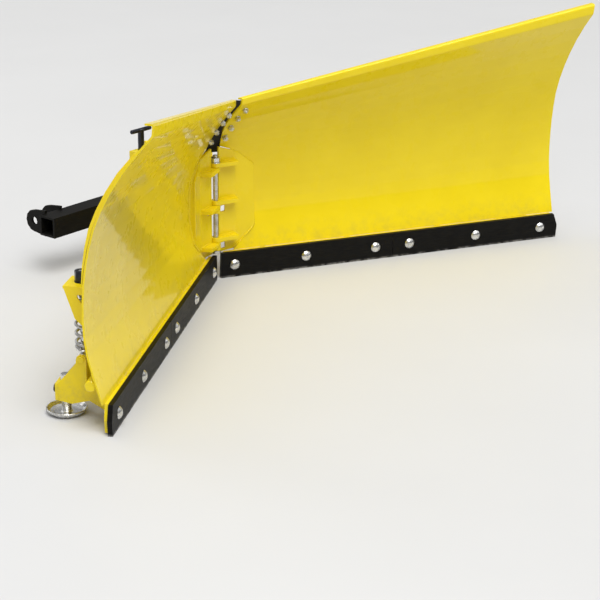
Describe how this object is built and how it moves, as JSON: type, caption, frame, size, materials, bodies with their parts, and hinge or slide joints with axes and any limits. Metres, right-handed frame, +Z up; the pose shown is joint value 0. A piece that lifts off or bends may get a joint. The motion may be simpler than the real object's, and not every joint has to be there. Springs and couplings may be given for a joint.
{
  "type": "atv plow blade",
  "caption": "Two-wing hinged snow plough blade in scoop position, with flared mouldboards, trip edges, wear strips, skid shoes, lock pins and a push frame.",
  "frame": {"origin": "centre of the overall box in plan, on the ground", "axes": "+X to the right seen from the front along the longest side, -Y forwards, +Z up"},
  "size_m": [1.3468, 0.7671, 0.5011],
  "materials": {
    "yellow_paint": "glossy powder coat",
    "black_paint": "satin",
    "zinc": "zinc plated",
    "spring_steel": "plain",
    "black_oxide": "black oxide",
    "rubber": "matt"
  },
  "bodies": {
    "centre": {"centre_frame": "yellow_paint", "push_beam": "black_paint", "hinge_pin": "zinc", "hinge_washer": "zinc", "hinge_nut": "spring_steel"},
    "wing_right": {"mouldboard_right": "yellow_paint", "hinge_bracket_right": "yellow_paint", "end_rib_right": "yellow_paint", "inner_rib_right": "yellow_paint", "middle_rib_right": "yellow_paint", "sector_plate_right": "yellow_paint", "lower_bar_right": "yellow_paint", "spring_box_right": "yellow_paint", "trip_shaft_right": "zinc", "rubber_flap_right": "rubber"},
    "trip_edge_right": {"trip_frame_right": "yellow_paint", "wear_strip_inner_right": "black_paint", "wear_strip_outer_right": "black_paint", "strip_bolt_1_right": "zinc", "strip_bolt_2_right": "zinc", "strip_bolt_3_right": "zinc", "strip_bolt_4_right": "zinc", "strip_bolt_5_right": "zinc", "strip_bolt_6_right": "zinc", "set_bolt_right": "black_oxide", "spring_pin_right": "yellow_paint"},
    "spring_rod_right": {"spring_rod_right": "zinc", "spring_nut_right": "black_oxide", "trip_spring_right": "spring_steel"},
    "skid_right": {"skid_shoe_right": "zinc"},
    "lock_right": {"lock_pin_right": "black_oxide", "lock_spring_right": "black_oxide"},
    "wing_left": {"mouldboard_left": "yellow_paint", "hinge_bracket_left": "yellow_paint", "end_rib_left": "yellow_paint", "inner_rib_left": "yellow_paint", "middle_rib_left": "yellow_paint", "sector_plate_left": "yellow_paint", "lower_bar_left": "yellow_paint", "spring_box_left": "yellow_paint", "trip_shaft_left": "zinc", "rubber_flap_left": "rubber"},
    "trip_edge_left": {"trip_frame_left": "yellow_paint", "wear_strip_inner_left": "black_paint", "wear_strip_outer_left": "black_paint", "strip_bolt_1_left": "zinc", "strip_bolt_2_left": "zinc", "strip_bolt_3_left": "zinc", "strip_bolt_4_left": "zinc", "strip_bolt_5_left": "zinc", "strip_bolt_6_left": "zinc", "set_bolt_left": "black_oxide", "spring_pin_left": "yellow_paint"},
    "spring_rod_left": {"spring_rod_left": "zinc", "spring_nut_left": "black_oxide", "trip_spring_left": "spring_steel"},
    "skid_left": {"skid_shoe_left": "zinc"},
    "lock_left": {"lock_pin_left": "black_oxide", "lock_spring_left": "black_oxide"}
  },
  "joints": [
    {"name": "wing_hinge_right", "type": "hinge", "parent": "centre", "child": "wing_right", "pos_m": [0, 0.05755, 0.15], "axis": [0, 0, 1], "range_deg": [0, 50]},
    {"name": "trip_hinge_right", "type": "hinge", "parent": "wing_right", "child": "trip_edge_right", "pos_m": [0.01139, 0.0781, 0.0575], "axis": [0.8746, -0.4848, 0], "range_deg": [0, 16], "stiffness_Nm_per_rad": 40, "springref_deg": -20.05},
    {"name": "rod_hinge_right", "type": "hinge", "parent": "trip_edge_right", "child": "spring_rod_right", "pos_m": [0.61868, -0.2145, 0.0985], "axis": [0.8746, -0.4848, 0], "range_deg": [-22.7, 0], "deforming": ["trip_spring_right"]},
    {"name": "skid_height_right", "type": "slide", "parent": "trip_edge_right", "child": "skid_right", "axis": [0, 0, 1], "range_m": [-0.01, 0.015]},
    {"name": "lock_slide_right", "type": "slide", "parent": "centre", "child": "lock_right", "axis": [0, 0, 1], "range_m": [-0.034, 0], "deforming": ["lock_spring_right"]},
    {"name": "wing_hinge_left", "type": "hinge", "parent": "centre", "child": "wing_left", "pos_m": [0, 0.05755, 0.15], "axis": [0, 0, -1], "range_deg": [0, 50]},
    {"name": "trip_hinge_left", "type": "hinge", "parent": "wing_left", "child": "trip_edge_left", "pos_m": [-0.01139, 0.0781, 0.0575], "axis": [0.8746, 0.4848, 0], "range_deg": [0, 16], "stiffness_Nm_per_rad": 40, "springref_deg": -20.05},
    {"name": "rod_hinge_left", "type": "hinge", "parent": "trip_edge_left", "child": "spring_rod_left", "pos_m": [-0.61868, -0.2145, 0.0985], "axis": [0.8746, 0.4848, 0], "range_deg": [-22.7, 0], "deforming": ["trip_spring_left"]},
    {"name": "skid_height_left", "type": "slide", "parent": "trip_edge_left", "child": "skid_left", "axis": [0, 0, 1], "range_m": [-0.01, 0.015]},
    {"name": "lock_slide_left", "type": "slide", "parent": "centre", "child": "lock_left", "axis": [0, 0, 1], "range_m": [-0.034, 0], "deforming": ["lock_spring_left"]}
  ],
  "couplings": [
    {"joint": "rod_hinge_right", "follows": "trip_hinge_right", "ratio": -1.4175},
    {"joint": "rod_hinge_left", "follows": "trip_hinge_left", "ratio": -1.4175}
  ]
}
